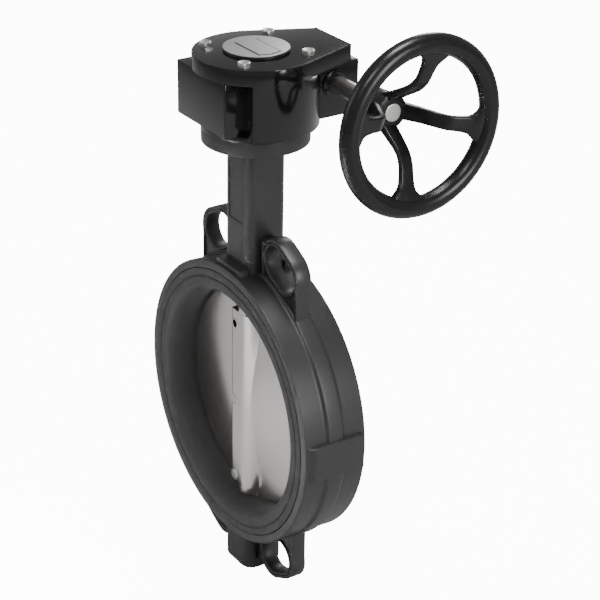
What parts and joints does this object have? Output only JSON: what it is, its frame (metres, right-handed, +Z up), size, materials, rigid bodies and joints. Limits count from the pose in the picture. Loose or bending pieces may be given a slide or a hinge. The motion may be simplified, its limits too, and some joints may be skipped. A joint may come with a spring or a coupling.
{
  "type": "wafer butterfly valve with worm gear operator",
  "caption": "Wafer butterfly valve: lined cast ring with bolt eyes, stainless disc on a tall stem, and a worm gear box turned by a dished handwheel.",
  "frame": {"origin": "centre of the bore, on the stem axis, midway between the two sealing faces", "axes": "+Z up the stem to the gear operator, +Y along the pipe away from the face seen first, +X along the handwheel shaft towards the handwheel"},
  "size_m": [0.282, 0.1838, 0.5293],
  "materials": {
    "body_paint": "satin charcoal epoxy coat on cast iron",
    "liner_rubber": "matte black moulded EPDM",
    "seal_rubber": "matte black",
    "bronze": "turned bronze",
    "bush_plastic": "off-white turned bearing plastic",
    "zinc_steel": "zinc plated steel",
    "gear_paint": "gloss black paint on cast iron",
    "gasket_fibre": "dark pressed fibre",
    "stainless_bar": "turned stainless steel",
    "disc_stainless": "finely brushed cast stainless steel",
    "wheel_iron": "machined ductile iron",
    "indicator_black": "black",
    "indicator_silver": "satin silver plate",
    "shaft_steel": "turned steel",
    "wheel_paint": "gloss black paint on cast iron"
  },
  "bodies": {
    "valve_frame": {"valve_body": "body_paint", "seat_liner": "liner_rubber", "upper_stem_bush": "bronze", "middle_stem_bush": "bush_plastic", "lower_stem_bush": "bush_plastic", "stem_seals": "seal_rubber", "bottom_plug": "zinc_steel", "plug_seal": "seal_rubber", "gear_housing": "gear_paint", "flange_screws": "zinc_steel", "gear_cover": "gear_paint", "cover_gasket": "gasket_fibre", "cover_bolts": "zinc_steel", "indicator_seal": "seal_rubber", "worm_bush_inner": "bronze", "worm_bush_outer": "bronze", "worm_shaft_seal": "seal_rubber", "worm_end_plug": "gear_paint"},
    "disc_and_stem": {"stem": "stainless_bar", "disc": "disc_stainless", "disc_pins": "stainless_bar", "worm_wheel": "wheel_iron", "wheel_key": "zinc_steel", "indicator_base": "indicator_black", "indicator_plate": "indicator_silver", "stem_circlip": "zinc_steel"},
    "handwheel_and_worm": {"worm_shaft": "shaft_steel", "worm": "shaft_steel", "worm_pin": "zinc_steel", "thrust_washers": "bronze", "handwheel": "wheel_paint", "handwheel_pin": "zinc_steel"}
  },
  "joints": [
    {"name": "disc_turn", "type": "hinge", "parent": "valve_frame", "child": "disc_and_stem", "pos_m": [0, 0, 0], "axis": [0, 0, 1], "range_deg": [0, 90]},
    {"name": "handwheel_turn", "type": "hinge", "parent": "valve_frame", "child": "handwheel_and_worm", "pos_m": [0, 0.058, 0.283], "axis": [1, 0, 0], "range_deg": [0, 2880]}
  ],
  "couplings": [
    {"joint": "handwheel_turn", "follows": "disc_turn", "ratio": 32}
  ]
}
